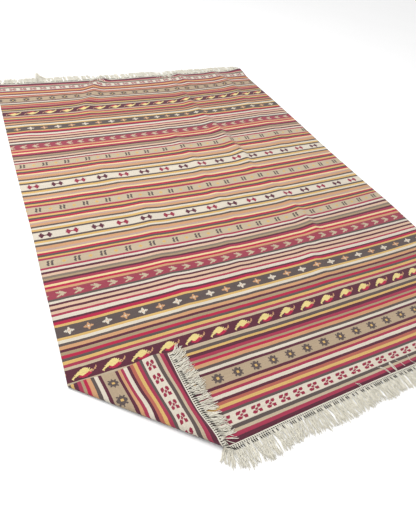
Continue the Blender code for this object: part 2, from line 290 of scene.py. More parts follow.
# Charts of the motifs, far side uppermost: one mark is one step of the weave
CHARTS = {
    "check": (
        ".#####..####",
        "######.#####",
        "#####..#####",
        "####..#.###.",
        "....####....",
        "....###.....",
        ".###.#.#####",
        "######.#####",
        "######..####",
        ".####...####",
    ),
    "star": (
        "......###......",
        "..##.#####.##..",
        "..###########..",
        "...#########...",
        "..####ooo####..",
        "######ooo######",
        "..####ooo####..",
        "...#########...",
        "..###########..",
        "..##.#####.##..",
        "......###......",
    ),
    "pepper": (
        "............####...........",
        "..........########........+",
        ".........#########.#......+",
        ".......#############.....++",
        "......#############..+..++.",
        ".....#################+.++.",
        "...###############+++.++...",
        "....#############oo++++....",
        "..#####..######oooooo......",
        ".####...oo###oooooooo......",
        "###....ooooooooooooo.......",
        "##......oooooooooo.........",
        ".#........oooooo...........",
    ),
    "cross": (
        ".....##.....",
        ".....##.....",
        "....####....",
        "..#.####.#..",
        "#####oo#####",
        "#####oo#####",
        "..#.####.#..",
        "....####....",
        ".....##.....",
        ".....##.....",
    ),
    "arrow": (
        "....##......",
        "###.####....",
        ".########...",
        "...#######..",
        ".....#######",
        "....#######.",
        "..#######...",
        ".####.##....",
        "###.........",
    ),
    "pair": (
        ".###..###",
        ".###..###",
        "###..###.",
        ".##..###.",
        ".###..##.",
        "###..###.",
        "###..###.",
        "###..###.",
        ".##...##.",
    ),
    "lozenge": (
        "..##..",
        ".####.",
        "##oo##",
        ".####.",
        "..##..",
    ),
    "bow": (
        "...##........##...",
        "..###........###..",
        "..####......####..",
        "#######....#######",
        ".################.",
        ".################.",
        "#######....#######",
        "..####......####..",
        "..###........###..",
        "...##........##...",
    ),
}

# What is woven in each band: chart, dyes of its marks, other dyes for every second one, step
# sizes across and along in millimetres, and how far along the repeat the motif stands
MOTIFS = {
    "checks": (("check", {"#": "madder"}, {}, 3.1, 2.65, 0.0),),
    "stars": (("star", {"#": "charcoal", "o": "gold"}, {}, 2.9, 3.1, 0.0),),
    "peppers": (("pepper", {"#": "straw", "o": "red", "+": "apricot"}, {}, 2.95, 2.75, 0.0),),
    "crosses": (
        ("cross", {"#": "ivory", "o": "peach"}, {"#": "apricot", "o": "ivory"}, 3.05, 2.85, 0.0),
    ),
    "arrows": (("arrow", {"#": "stone"}, {}, 3.1, 3.0, 0.0),),
    "bars": (
        ("pair", {"#": "charcoal"}, {}, 3.1, 3.2, 0.0),
        ("lozenge", {"#": "gold", "o": "apricot"}, {}, 3.1, 2.9, 0.5),
    ),
    "bows": (("bow", {"#": "plum"}, {"#": "madder"}, 3.05, 3.1, 0.0),),
    "middle bars": (
        ("pair", {"#": "charcoal"}, {}, 3.1, 3.2, 0.0),
        ("lozenge", {"#": "gold", "o": "apricot"}, {}, 3.1, 2.9, 0.5),
    ),
}

# Where the motifs stand in the near half and in the far half: number and place across
NEAR_PLACES = {
    "checks": (
        (1, 0.030), (3, 0.134), (5, 0.233), (7, 0.345), (9, 0.460), (12, 0.614), (15, 0.783),
        (23, 1.254), (31, 1.717),
    ),
    "stars": ((1, -0.022), (2, 0.043), (3, 0.104), (7, 0.438), (12, 0.786), (24, 1.687)),
    "peppers": ((1, 0.055), (10, 0.902), (18, 1.655)),
    "crosses": ((1, 0.042), (7, 0.430), (13, 0.838), (19, 1.285), (25, 1.733)),
    "arrows": ((1, 0.049), (6, 0.357), (12, 0.703), (16, 0.945), (27, 1.646)),
    "bars": ((1, 0.039), (17, 1.657)),
    "bows": ((1, 0.047), (16, 1.639)),
    "middle bars": ((1, 0.047), (17, 1.657)),
}
FAR_PLACES = {
    "checks": ((1, 0.030), (30, 1.709)),
    "stars": ((1, 0.072), (23, 1.685)),
    "peppers": ((1, 0.057), (7, 0.628), (18, 1.646)),
    "crosses": ((0, 0.055), (2, 0.190), (9, 0.700), (18, 1.290), (23, 1.650)),
    "arrows": ((1, 0.062), (12, 0.694), (27, 1.657)),
    "bars": ((1, 0.032), (17, 1.682)),
    "bows": ((2, 0.054), (17, 1.634)),
    "middle bars": ((1, 0.047), (17, 1.657)),
}
MOST_MOTIFS = 40.0
CURVE_POINTS = 18
CHART_SCALE = 65536.0

# The fringe: a twined cord along the end, a knot for each lock, dark yarns that are partly twining
# and partly painted shade in the gaps, and loose yarns
FIRST_LOCK = 0.004
LAST_LOCK = 1.696
LOCK_PITCH = 0.0073
LOCK_START = 0.0085
HEADING_CENTRE = 0.0012
HEADING_RADIUS = 0.0010
HEADING_PLY_RADIUS = 0.0014
HEADING_LIFT = 0.0006
HEADING_PITCH = 0.0073
HEADING_STEPS = 8
HEADING_SIDES = 5
SHORT_SIDES = 6
YARN_RADIUS = 0.00125
YARN_POINTS = 13
YARNS_PER_LOCK = 5
YARN_TWIST = 0.55
YARN_STACK = 0.0040
YARN_SWAY = 0.07
YARN_BEND = 0.22
YARN_WAVE = (0.04, 0.24)
YARN_CYCLES = (0.7, 1.5)
YARN_SIDES = 4
YARN_THICKNESSES = (0.8, 1.2)
YARN_TAPER = (1.12, 0.8)
YARN_PRESSED = 0.8
YARN_SETTLES_BY = 0.4
YARN_STACKS_BY = 0.3
YARN_SPREAD_RATE = 1.3
YARN_LENGTH_SPREAD = 0.07
ROOT_SPREAD = 0.38
TIP_SPREAD = 0.0030
GATHER_SHARE = (0.15, 0.75)
SWAY_PLACES = 60
SWAY_ON_LENGTH = 0.10
HEADING_SWAY = 0.14
PLY_PITCH = 0.0045
STRAY_RADIUS = 0.0008
YARNS_IN_A_GROUP = 1000.0
STEEP_SINE = 0.2
SPARE_AXIS = (1.0, 0.3, 0.0)
SEED = 7

# Short tubes across the heading: rows of how far out from the cloth and radius, in metres
KNOT_SHAPE = ((0.0026, 0.0010), (0.0045, 0.0018), (0.0070, 0.0020), (0.0095, 0.0017))
# The dots between the knots: dark twining yarn that is partly painted shade in the holes between
# the knots
GAP_SHADE_STITCH_SHAPE = ((0.0028, 0.0006), (0.0042, 0.0011), (0.0058, 0.0011), (0.0072, 0.0005))
# The dashes between the locks: painted shadow of the gaps between locks, partly dark twining yarn
DARK_SHAPE = ((0.0092, 0.0008), (0.0115, 0.0016), (0.0165, 0.0015), (0.0200, 0.0006))
DARK_SHARE = 0.66

# How far the short tubes lean sideways, and how high they stand on the heading, in metres
KNOT_LEAN = 0.5
KNOT_HEIGHT = 0.0003
GAP_SHADE_STITCH_LEAN = 0.5
GAP_SHADE_STITCH_HEIGHT = 0.0017
DARK_LEAN = 0.35
DARK_HEIGHT = 0.0024

# How the loose yarns lie: where they head, in degrees from +X, and how long they are in mm
HABIT_COLUMNS = ("across", "heading", "length")
NEAR_HABITS = (
    (0.000, 62.0, 50.0),
    (0.015, 48.0, 50.0),
    (0.040, 18.0, 48.0),
    (0.080, 14.0, 48.0),
    (0.130, 4.0, 56.0),
    (0.180, 0.0, 55.0),
    (0.230, -6.0, 55.0),
    (0.290, -4.0, 55.0),
    (0.320, -20.0, 52.0),
    (0.336, -122.0, 56.0),
    (0.352, -108.0, 54.0),
    (0.372, -97.0, 56.0),
    (0.400, -90.0, 66.0),
    (0.600, -90.0, 66.0),
    (1.000, -88.0, 63.0),
    (1.400, -91.0, 64.0),
    (1.700, -88.0, 62.0),
)
FAR_HABITS = (
    (0.000, 100.0, 55.0),
    (0.060, 88.0, 68.0),
    (0.500, 88.0, 68.0),
    (1.000, 91.0, 70.0),
    (1.400, 88.0, 70.0),
    (1.700, 92.0, 62.0),
)

# Partings of the loose yarns: place across, and how far they are pushed to either side in mm
NEAR_PARTINGS = ((0.415, 4.0), (0.512, 8.0), (0.540, 5.0), (0.950, 6.0), (1.047, 4.0), (1.31, 3.0))
FAR_PARTINGS = ((0.130, 3.0), (0.330, 3.0), (1.045, 9.0), (1.288, 5.0), (1.50, 3.0))

# How many locks gather together: from, and up to but without
NEAR_CLUMPS = (2, 5)
FAR_CLUMPS = (3, 7)

# Stretches of the far fringe that have fallen back over the cloth: start, stop and share
FALLEN_ROWS = ((0.560, 0.650, 0.55), (1.050, 1.130, 0.6))
FALLEN_LAUNCH = (0.0, 0.35, 0.94)
FALLEN_HEADING = (-90.0, 16.0)
FALLEN_LENGTH = (0.040, 0.062)
FALLEN_SPREAD = 0.004

# The tuft of the far fringe that points up
PEAK_START = 0.238
PEAK_STOP = 0.302
PEAK_ACROSS = 0.262
PEAK_ALONG = 2.525
PEAK_HEIGHT = 0.019
PEAK_SHARE = 0.75
PEAK_LENGTHS = (0.85, 1.1)
PEAK_LEVELS = (0.5, 1.0)
PEAK_SPREAD = 0.001
PEAK_BEND = 0.05

# Warps that lie back over the near border: from across and along, to across and along, count
STRAY_ROWS = (
    (0.8772, -0.0011, 0.8674, 0.0164, 2),
    (1.0102, -0.0015, 0.9876, 0.0361, 3),
    (1.0397, -0.0001, 1.0357, 0.0373, 7),
    (1.0827, 0.0048, 1.0628, 0.0380, 1),
    (1.1316, -0.0005, 1.1239, 0.0351, 1),
)
STRAY_ROOTS_SPREAD = 0.0011
STRAY_TIPS_SPREAD = 0.003
STRAY_BOW = 0.10
STRAY_STACK = 0.001

# The weave
WARP_PITCH = 0.0030
WEFT_PITCH = 0.0013
WEAVE_DEPTH = 0.0006
WEFT_WAVER = 0.0022
WEFT_FRAY = 0.0010
DYE_STRENGTH = 0.72
WARP_STRENGTH = 0.88

# How the wool and the yarn take the light, straight onto the shader's sockets
WOOL_FINISH = {
    "Roughness": 0.93,
    "Specular IOR Level": 0.18,
    "Sheen Weight": 0.12,
    "Sheen Roughness": 0.5,
}
YARN_FINISH = {"Roughness": 0.9, "Specular IOR Level": 0.2, "Sheen Weight": 0.15}
WOOL_BUMP = 0.55
YARN_BUMP = 0.6
YARN_DEPTH = 0.0004
WARP_PLY_SHADE = 0.14
GAP_SHADE_STITCH_PLY_SHADE = 0.10
YARN_TONE = (0.16, 0.88)

# Unevenness of the dyed wool: scales across and along, detail and strength of each noise
STREAK = (5.0, 260.0, 2.0, 0.34)
CLOUD_SCALE = 9.0
CLOUD_STRENGTH = 0.16
FLECK = (260.0, 620.0, 0.0, 0.30)
WAVER_SCALE = 22.0
FRAY_SCALE = 420.0
FRAY_STRETCH = 0.6

# What faces down is darker: from and to how far upward, and from and to what share of the light
SHADE_RANGE = (-0.5, 0.3, 0.25, 1.0)

# The studio
FLOOR_HEIGHT = -0.0004
WORLD_STRENGTH = 0.90
KEY_ENERGY = 70.0
KEY_SIZE = 2.2
KEY_PLACE = (-1.1, 0.6, 2.9)
FLOOR_SIZE = 14.0
FLOOR_TONES = ((0.93, 0.93, 0.93, 1.0), (0.95, 0.95, 0.95, 1.0))
FLOOR_GRAIN = 3.0
FLOOR_ROUGHNESS = 0.9

# The camera of the photograph, and its place in cloth coordinates
CAMERA_ROWS = (
    (0.9003, -0.4164, 0.1269),
    (-0.2174, -0.6827, -0.6976),
    (0.3771, 0.6005, -0.7052),
)
CAMERA_ACROSS = -0.0378
CAMERA_ALONG = -0.3651
CAMERA_HEIGHT = 1.2518
CAMERA_LENS = 29.866
CAMERA_SENSOR = 36.0


def smooth(value):
    """A soft step from 0 to 1."""
    value = np.clip(value, 0.0, 1.0)
    return value * value * (3.0 - 2.0 * value)


def fair_curve(places, values, place):
    """A fair curve through values at places; a value is a number, or an array as long as place."""
    places = np.asarray(places, float)
    place = np.asarray(place, float)
    count = len(places)
    rows = np.asarray(values, float).reshape(count, -1)
    rows = np.broadcast_to(rows, (count, place.size))

    def at(index):
        return np.take_along_axis(rows, index[None, :], 0)[0]

    index = np.clip(np.searchsorted(places, place), 1, count - 1)
    before = np.maximum(index - 2, 0)
    after = np.minimum(index + 1, count - 1)
    span = places[index] - places[index - 1]
    part = np.clip((place - places[index - 1]) / span, 0.0, 1.0)
    slope_in = (at(index) - at(before)) / (places[index] - places[before]) * span
    slope_out = (at(after) - at(index - 1)) / (places[after] - places[index - 1]) * span
    square = part * part
    cube = square * part
    return (
        (2 * cube - 3 * square + 1) * at(index - 1)
        + (cube - 2 * square + part) * slope_in
        + (3 * square - 2 * cube) * at(index)
        + (cube - square) * slope_out
    )


def read_column(rows, columns, name, place):
    """One named column of a table whose first column is the place."""
    number = columns.index(name)
    return fair_curve([row[0] for row in rows], [row[number] for row in rows], place)


def laid_out(across, along):
    """Where points of the cloth lie on the floor before the corner is turned over."""
    side = np.clip(across / WIDTH, 0.0, 1.0)
    end = np.clip(along / LENGTH, 0.0, 1.0)
    left = read_column(SELVEDGE_ROWS, SELVEDGE_COLUMNS, "left", along)
    right = read_column(SELVEDGE_ROWS, SELVEDGE_COLUMNS, "right", along)
    near = read_column(END_ROWS, END_COLUMNS, "near", across)
    far = read_column(END_ROWS, END_COLUMNS, "far", across)
    return (
        across + MM * (left * (1.0 - side) + right * side),
        along + MM * (near * (1.0 - end) + far * end),
    )


def crease_height(across, along):
    """How far the creases and the cloth's slight ripples lift it off the floor."""
    total = np.zeros_like(across)
    for crease in CREASES.values():
        rows = crease["crest"]
        places = [row[0] for row in rows]
        crest = fair_curve(places, [row[1] for row in rows], along)
        height = np.maximum(fair_curve(places, [row[2] for row in rows], along), 0.0)
        reach = np.where(across < crest, crease["left"], crease["right"])
        part = 1.0 - np.minimum(np.abs(across - crest) / reach, 1.0)
        total += MM * height * (0.5 * smooth(part) + 0.5 * part * part)
    corner = np.hypot(WIDTH - across, LENGTH - along)
    total += CORNER_LIFT * smooth(1.0 - corner / CORNER_LIFT_REACH)
    ripple = np.zeros_like(across)
    for sideways, lengthways, start in RIPPLES:
        ripple += np.sin(sideways * across + lengthways * along + start)
        more_sideways = FINER_RIPPLE[0] * sideways
        more_lengthways = FINER_RIPPLE[1] * lengthways
        later = FINER_RIPPLE[2] * start
        ripple += np.sin(more_sideways * across + more_lengthways * along + later)
    return total + RIPPLE_HEIGHT * np.maximum(ripple / len(RIPPLES), 0.0)


def cloth_points(across, along):
    """The middle of the cloth's thickness, with the corner turned over."""
    x, y = laid_out(across, along)
    inward = x * math.cos(FOLD_DIRECTION) + y * math.sin(FOLD_DIRECTION)
    beside = x * math.sin(FOLD_DIRECTION) - y * math.cos(FOLD_DIRECTION)
    radius = np.maximum(ROLL_RADIUS + ROLL_WIDENS * beside, MM)
    past = FOLD_REACH + radius - inward
    flat = (past <= 0.0) | (beside < FOLD_STARTS_BESIDE)
    turn = np.clip(past / radius, 0.0, math.pi)
    beyond = np.maximum(past - math.pi * radius, 0.0)
    resting = 1.5 * THICKNESS + FLAP_GAP
    lifted = 0.5 * THICKNESS + 2.0 * radius
    rolled = FOLD_REACH + radius - radius * np.sin(turn) + beyond
    on_roll = 0.5 * THICKNESS + radius * (1.0 - np.cos(turn))
    on_flap = resting + (lifted - resting) * (1.0 - smooth(beyond / FLAP_SETTLES_OVER))
    height = np.where(beyond > 0.0, on_flap, on_roll)
    height = np.where(flat, 0.5 * THICKNESS + crease_height(across, along), height)
    inward = np.where(flat, inward, rolled)
    x = inward * math.cos(FOLD_DIRECTION) + beside * math.sin(FOLD_DIRECTION)
    y = inward * math.sin(FOLD_DIRECTION) - beside * math.cos(FOLD_DIRECTION)
    return np.stack([x - MIDDLE_ACROSS, y - MIDDLE_ALONG, height], axis=-1)


def unit(vectors):
    """The vectors at length one."""
    return vectors / np.maximum(np.linalg.norm(vectors, axis=-1, keepdims=True), 1e-9)


def cloth_directions(across, along):
    """The cloth's directions across, along and out of its upper face."""
    sideways = cloth_points(across + MM, along) - cloth_points(across - MM, along)
    lengthways = cloth_points(across, along + MM) - cloth_points(across, along - MM)
    return unit(sideways), unit(lengthways), unit(np.cross(sideways, lengthways))


def pattern_along(across, along):
    """Where in the weave, in metres from the near end, a point of the cloth is."""
    laid = laid_out(across, along)[1]
    places = [row[0] for row in DRIFT_ROWS]
    woven = along
    for _ in range(PATTERN_SEARCHES):
        columns = [
            fair_curve(places, [row[1][number] for row in DRIFT_ROWS], woven)
            for number in range(len(DRIFT_ACROSS))
        ]
        woven = laid - MM * fair_curve(DRIFT_ACROSS, columns, across)
    return woven


def flat_grid():
    """The cloth's outline as a flat grid, cut along the lines of the roll."""
    sheet = bmesh.new()
    bmesh.ops.create_grid(sheet, x_segments=CELLS_ACROSS, y_segments=CELLS_ALONG, size=0.5)
    for vert in sheet.verts:
        vert.co.x = (vert.co.x + 0.5) * WIDTH
        vert.co.y = (vert.co.y + 0.5) * LENGTH
    inward = Vector((math.cos(FOLD_DIRECTION), math.sin(FOLD_DIRECTION), 0.0))
    beside = Vector((math.sin(FOLD_DIRECTION), -math.cos(FOLD_DIRECTION), 0.0))
    turns = [(math.pi * step / ROLL_STEPS, 0.0) for step in range(ROLL_STEPS + 1)]
    turns += [(math.pi, distance) for distance in FLAP_STEPS]
    reach = FOLD_REACH + CUT_MARGIN
    for turn, distance in turns:
        place = inward * (FOLD_REACH + (1.0 - turn) * ROLL_RADIUS - distance)
        across_line = inward - beside * ((1.0 - turn) * ROLL_WIDENS)
        faces = [face for face in sheet.faces if face.calc_center_median().dot(inward) < reach]
        parts = set(faces)
        for face in faces:
            parts.update(face.edges)
            parts.update(face.verts)
        bmesh.ops.bisect_plane(
            sheet, geom=list(parts), dist=SAME_LINE, plane_co=place, plane_no=across_line
        )
    sheet.verts.index_update()
    return sheet


def add_piece(name, vertices, faces, coordinates, materials):
    """An object from points, faces and one pair of texture coordinates for each point."""
    mesh = bpy.data.meshes.new(name)
    mesh.from_pydata(vertices, [], faces)
    corners = np.empty(len(mesh.loops), np.int32)
    mesh.loops.foreach_get("vertex_index", corners)
    layer = mesh.uv_layers.new(name="weave")
    layer.data.foreach_set("uv", np.asarray(coordinates, np.float32)[corners].ravel())
    for material in materials:
        mesh.materials.append(material)
    mesh.shade_smooth()
    mesh.update()
    piece = bpy.data.objects.new(name, mesh)
    bpy.context.scene.collection.objects.link(piece)
    return piece


def make_cloth(material):
    """The rug's cloth: the grid's two faces, folded, and a round edge between them."""
    flat = flat_grid()
    across = np.array([vert.co.x for vert in flat.verts])
    along = np.array([vert.co.y for vert in flat.verts])
    middle = cloth_points(across, along)
    sideways, lengthways, normal = cloth_directions(across, along)
    upper = middle + normal * (0.5 * THICKNESS)
    lower = middle - normal * (0.5 * THICKNESS)
    outward = (
        sideways * ((across > WIDTH - MM) * 1.0 - (across < MM) * 1.0)[:, None]
        + lengthways * ((along > LENGTH - MM) * 1.0 - (along < MM) * 1.0)[:, None]
    )
    rim = middle + outward * EDGE_BULGE
    woven = np.stack([across, pattern_along(across, along)], axis=-1)
    count = len(across)
    edge = sorted({vert.index for line in flat.edges if line.is_boundary for vert in line.verts})
    rim_number = {index: 2 * count + place for place, index in enumerate(edge)}
    points = np.concatenate([upper, lower, rim[edge]])
    points[:, 2] = np.maximum(points[:, 2], 0.0)
    faces = []
    for face in flat.faces:
        ring = [vert.index for vert in face.verts]
        faces.append(ring)
        faces.append([index + count for index in reversed(ring)])
    for line in flat.edges:
        if line.is_boundary:
            loop = line.link_loops[0]
            start = loop.vert.index
            stop = loop.link_loop_next.vert.index
            faces.append([stop, start, rim_number[start], rim_number[stop]])
            faces.append([rim_number[stop], rim_number[start], start + count, stop + count])
    flat.free()
    coordinates = np.concatenate([woven, woven, woven[edge]])
    return add_piece("kilim_cloth", points.tolist(), faces, coordinates, [material])


def support_height(points):
    """The height of what yarns lie on: the cloth or the floor."""
    across = points[..., 0] + MIDDLE_ACROSS
    along = points[..., 1] + MIDDLE_ALONG
    inward = across * math.cos(FOLD_DIRECTION) + along * math.sin(FOLD_DIRECTION)
    near_side = read_column(END_ROWS, END_COLUMNS, "near", across.ravel())
    near_side = MM * near_side.reshape(across.shape)
    far_side = read_column(END_ROWS, END_COLUMNS, "far", across.ravel())
    far_side = MM * far_side.reshape(across.shape)
    on_cloth = (across > 0.0) & (across < WIDTH) & (inward > FOLD_REACH)
    on_cloth &= (along > near_side) & (along < LENGTH + far_side)
    lift = crease_height(across.ravel(), along.ravel()).reshape(across.shape)
    return np.where(on_cloth, THICKNESS + lift, 0.0)


def yarn_paths(roots, launch, heading, length, bend, wave, spread, level, generator):
    """Centre lines of loose yarns, one row for each: from the roots, then down on what is below."""
    count = len(heading)
    steps = np.linspace(0.0, 1.0, YARN_POINTS)[None, :]
    settle = smooth(steps / YARN_SETTLES_BY)
    phase = generator.uniform(0.0, 2.0 * math.pi, (count, 1))
    cycles = generator.uniform(*YARN_CYCLES, (count, 1))
    angle = heading[:, None] + bend[:, None] * steps
    angle = angle + wave[:, None] * np.sin(2.0 * math.pi * cycles * steps + phase)
    flat = np.stack([np.cos(angle), np.sin(angle), np.zeros_like(angle)], axis=-1)
    direction = unit(launch[:, None, :] * (1.0 - settle[..., None]) + flat * settle[..., None])
    stride = length[:, None, None] / (YARN_POINTS - 1)
    path = np.concatenate([np.zeros((count, 1, 3)), direction[:, 1:] * stride], axis=1)
    path = roots[:, None, :] + np.cumsum(path, axis=1)
    sideways = np.stack([-np.sin(heading), np.cos(heading)], axis=-1)
    drift = spread[:, None] * smooth(steps * YARN_SPREAD_RATE)
    path[..., :2] += sideways[:, None, :] * drift[..., None]
    stacked = level[:, None] * smooth(steps / YARN_STACKS_BY)
    under = support_height(path) + YARN_RADIUS + stacked
    resting = path[..., 2] * (1.0 - settle) + under * settle
    path[..., 2] = np.maximum(resting, support_height(path) + YARN_PRESSED * YARN_RADIUS)
    return path


def tube_mesh(paths, radii, sides, twist):
    """Points, faces and coordinates of tubes along many paths of the same number of points."""
    count, points = paths.shape[:2]
    along = unit(np.gradient(paths, axis=1))
    up = np.array([0.0, 0.0, 1.0])
    sideways = np.cross(along, up)
    steep = np.linalg.norm(sideways, axis=-1) < STEEP_SINE
    sideways[steep] = np.cross(along[steep], np.array(SPARE_AXIS))
    sideways = unit(sideways)
    upward = np.cross(sideways, along)
    turn = 2.0 * math.pi * np.arange(sides) / sides
    angle = turn[None, :] + twist * np.arange(points)[:, None]
    offset = (
        sideways[:, :, None, :] * np.cos(angle)[None, :, :, None]
        + upward[:, :, None, :] * np.sin(angle)[None, :, :, None]
    )
    rings = paths[:, :, None, :] + offset * radii[:, :, None, None]
    vertices = rings.reshape(-1, 3)
    strides = np.linalg.norm(np.diff(paths, axis=1), axis=-1)
    length = np.concatenate([np.zeros((count, 1)), np.cumsum(strides, axis=1)], axis=1)
    around = np.arange(sides) / sides
    first = np.arange(count)[:, None, None] + 0.5 * around[None, None, :]
    coordinates = np.stack(
        np.broadcast_arrays(first, length[:, :, None]), axis=-1
    ).reshape(-1, 2)
    base = np.arange(count)[:, None, None] * points + np.arange(points - 1)[None, :, None]
    base = base * sides
    this = np.arange(sides)[None, None, :]
    following = (this + 1) % sides
    quads = np.stack(
        [base + this, base + following, base + sides + following, base + sides + this], axis=-1
    ).reshape(-1, 4)
    start = np.arange(count)[:, None] * points * sides
    heads = start + np.arange(sides)[None, ::-1]
    tails = start + (points - 1) * sides + np.arange(sides)[None, :]
    return vertices, quads.tolist() + heads.tolist() + tails.tolist(), coordinates


def tube_piece(name, groups, material):
    """One piece of many tubes; a group is paths, radii, sides and twist."""
    vertices, faces, coordinates = [], [], []
    start = 0
    for number, (paths, radii, sides, twist) in enumerate(groups):
        points, rings, places = tube_mesh(paths, radii, sides, twist)
        vertices.append(points)
        coordinates.append(places + np.array([YARNS_IN_A_GROUP * number, 0.0]))
        faces += [[index + start for index in ring] for ring in rings]
        start += len(points)
    vertices = np.concatenate(vertices).tolist()
    return add_piece(name, vertices, faces, np.concatenate(coordinates), [material])


def end_line(end, out, count):
    """The cloth coordinate of a line that lies a little outside one end of the cloth."""
    return np.full(count, -out if end == "near" else LENGTH + out)


def heading_cord(end):
    """Two plies twisted round each other along the cloth's end."""
    steps = int((LAST_LOCK - FIRST_LOCK) / HEADING_PITCH * HEADING_STEPS)
    across = np.linspace(FIRST_LOCK, LAST_LOCK, steps)
    along = end_line(end, HEADING_CENTRE, steps)
    centre = cloth_points(across, along)
    _, lengthways, normal = cloth_directions(across, along)
    centre = centre + normal * HEADING_LIFT * np.sign(normal[:, 2:])
    turn = 2.0 * math.pi * across / HEADING_PITCH
    plies = []
    for start in (0.0, math.pi):
        swing = normal * np.cos(turn + start)[:, None] + lengthways * np.sin(turn + start)[:, None]
        plies.append(centre + HEADING_RADIUS * swing)
    paths = np.stack(plies)
    paths[..., 2] = np.maximum(paths[..., 2], HEADING_PLY_RADIUS)
    return paths, np.full(paths.shape[:2], HEADING_PLY_RADIUS), HEADING_SIDES, 0.0


def short_tubes(end, places, shape, lean, height):
    """A short tube at each place; shape has rows of how far out it is and its radius."""
    paths = []
    for out, _ in shape:
        across = places + lean * (out - shape[0][0])
        along = end_line(end, out, len(places))
        point = cloth_points(across, along)
        _, _, normal = cloth_directions(across, along)
        paths.append(point + normal * height * np.sign(normal[:, 2:]))
    paths = np.stack(paths, axis=1)
    radii = np.tile([radius for _, radius in shape], (len(places), 1))
    paths[..., 2] = np.maximum(paths[..., 2], radii)
    return paths, radii, SHORT_SIDES, 0.0


def clump_centres(places, generator, sizes):
    """The place across where each lock's tip gathers with its neighbours'."""
    centres = np.empty_like(places)
    start = 0
    while start < len(places):
        stop = min(start + generator.integers(*sizes), len(places))
        centres[start:stop] = places[start:stop].mean()
        start = stop
    return centres


def parted(places, partings):
    """How far yarns beside a parting are pushed away from it, in metres."""
    push = np.zeros_like(places)
    for place, width in partings:
        away = places - place
        push += np.sign(away) * MM * width * smooth(1.0 - np.abs(away) / (3.0 * MM * width))
    return push


def loose_yarns(end, habits, partings, sizes, generator):
    """Roots, launches and habits of all the loose yarns of one end."""
    locks = np.arange(FIRST_LOCK + 0.5 * LOCK_PITCH, LAST_LOCK, LOCK_PITCH)
    centres = clump_centres(locks, generator, sizes)
    across = np.repeat(locks, YARNS_PER_LOCK)
    centre = np.repeat(centres, YARNS_PER_LOCK)
    count = len(across)
    across = across + generator.uniform(-ROOT_SPREAD, ROOT_SPREAD, count) * LOCK_PITCH
    along = end_line(end, LOCK_START, count)
    sideways, lengthways, _ = cloth_directions(across, along)
    launch = lengthways * (-1.0 if end == "near" else 1.0)
    heading = np.radians(read_column(habits, HABIT_COLUMNS, "heading", across))
    length = MM * read_column(habits, HABIT_COLUMNS, "length", across)
    sway_places = np.linspace(0.0, WIDTH, SWAY_PLACES)
    sway = np.interp(centre, sway_places, generator.uniform(-1.0, 1.0, SWAY_PLACES))
    heading = heading + HEADING_SWAY * sway + generator.normal(0.0, YARN_SWAY, count)
    uneven = generator.normal(0.0, YARN_LENGTH_SPREAD, count)
    length = length * (1.0 + SWAY_ON_LENGTH * sway + uneven)
    gather = generator.uniform(*GATHER_SHARE, count) * (centre - across)
    gather = gather + parted(across, partings) + generator.normal(0.0, TIP_SPREAD, count)
    flow = np.stack([-np.sin(heading), np.cos(heading)], axis=-1)
    spread = gather * np.sum(flow * sideways[:, :2], axis=-1)
    roots = cloth_points(across, along)
    level = generator.uniform(0.0, 1.0, count) ** 2 * YARN_STACK
    bend = generator.normal(0.0, YARN_BEND, count)
    wave = generator.uniform(*YARN_WAVE, count)
    return {
        "across": across, "roots": roots, "launch": launch, "heading": heading, "length": length,
        "bend": bend, "wave": wave, "spread": spread, "level": level,
    }


def fall_inward(yarns, start, stop, share, generator):
    """Turns a share of the yarns of one stretch back over the cloth."""
    chosen = (yarns["across"] > start) & (yarns["across"] < stop)
    chosen &= generator.uniform(0.0, 1.0, len(chosen)) < share
    count = int(chosen.sum())
    yarns["launch"][chosen] = np.array(FALLEN_LAUNCH)
    yarns["heading"][chosen] = np.radians(generator.normal(*FALLEN_HEADING, count))
    yarns["length"][chosen] = generator.uniform(*FALLEN_LENGTH, count)
    yarns["spread"][chosen] = generator.normal(0.0, FALLEN_SPREAD, count)


def gather_to_peak(yarns, generator):
    """Draws the yarns of one stretch together into a tuft that points up and away."""
    chosen = (yarns["across"] > PEAK_START) & (yarns["across"] < PEAK_STOP)
    chosen &= generator.uniform(0.0, 1.0, len(chosen)) < PEAK_SHARE
    count = int(chosen.sum())
    apex = np.array([PEAK_ACROSS - MIDDLE_ACROSS, PEAK_ALONG - MIDDLE_ALONG])
    reach = apex - yarns["roots"][chosen][:, :2]
    yarns["heading"][chosen] = np.arctan2(reach[:, 1], reach[:, 0])
    share = generator.uniform(*PEAK_LENGTHS, count)
    yarns["length"][chosen] = np.linalg.norm(reach, axis=-1) * share
    yarns["spread"][chosen] = generator.normal(0.0, PEAK_SPREAD, count)
    yarns["bend"][chosen] = generator.normal(0.0, PEAK_BEND, count)
    yarns["level"][chosen] = generator.uniform(*PEAK_LEVELS, count) * PEAK_HEIGHT


def yarn_group(yarns, generator):
    """The tubes of the loose yarns of one end."""
    paths = yarn_paths(
        yarns["roots"], yarns["launch"], yarns["heading"], yarns["length"], yarns["bend"],
        yarns["wave"], yarns["spread"], yarns["level"], generator,
    )
    thickness = generator.uniform(*YARN_THICKNESSES, (len(paths), 1))
    radii = YARN_RADIUS * thickness * np.ones((1, YARN_POINTS))
    radii = radii * np.linspace(*YARN_TAPER, YARN_POINTS)[None, :]
    return paths, radii, YARN_SIDES, YARN_TWIST


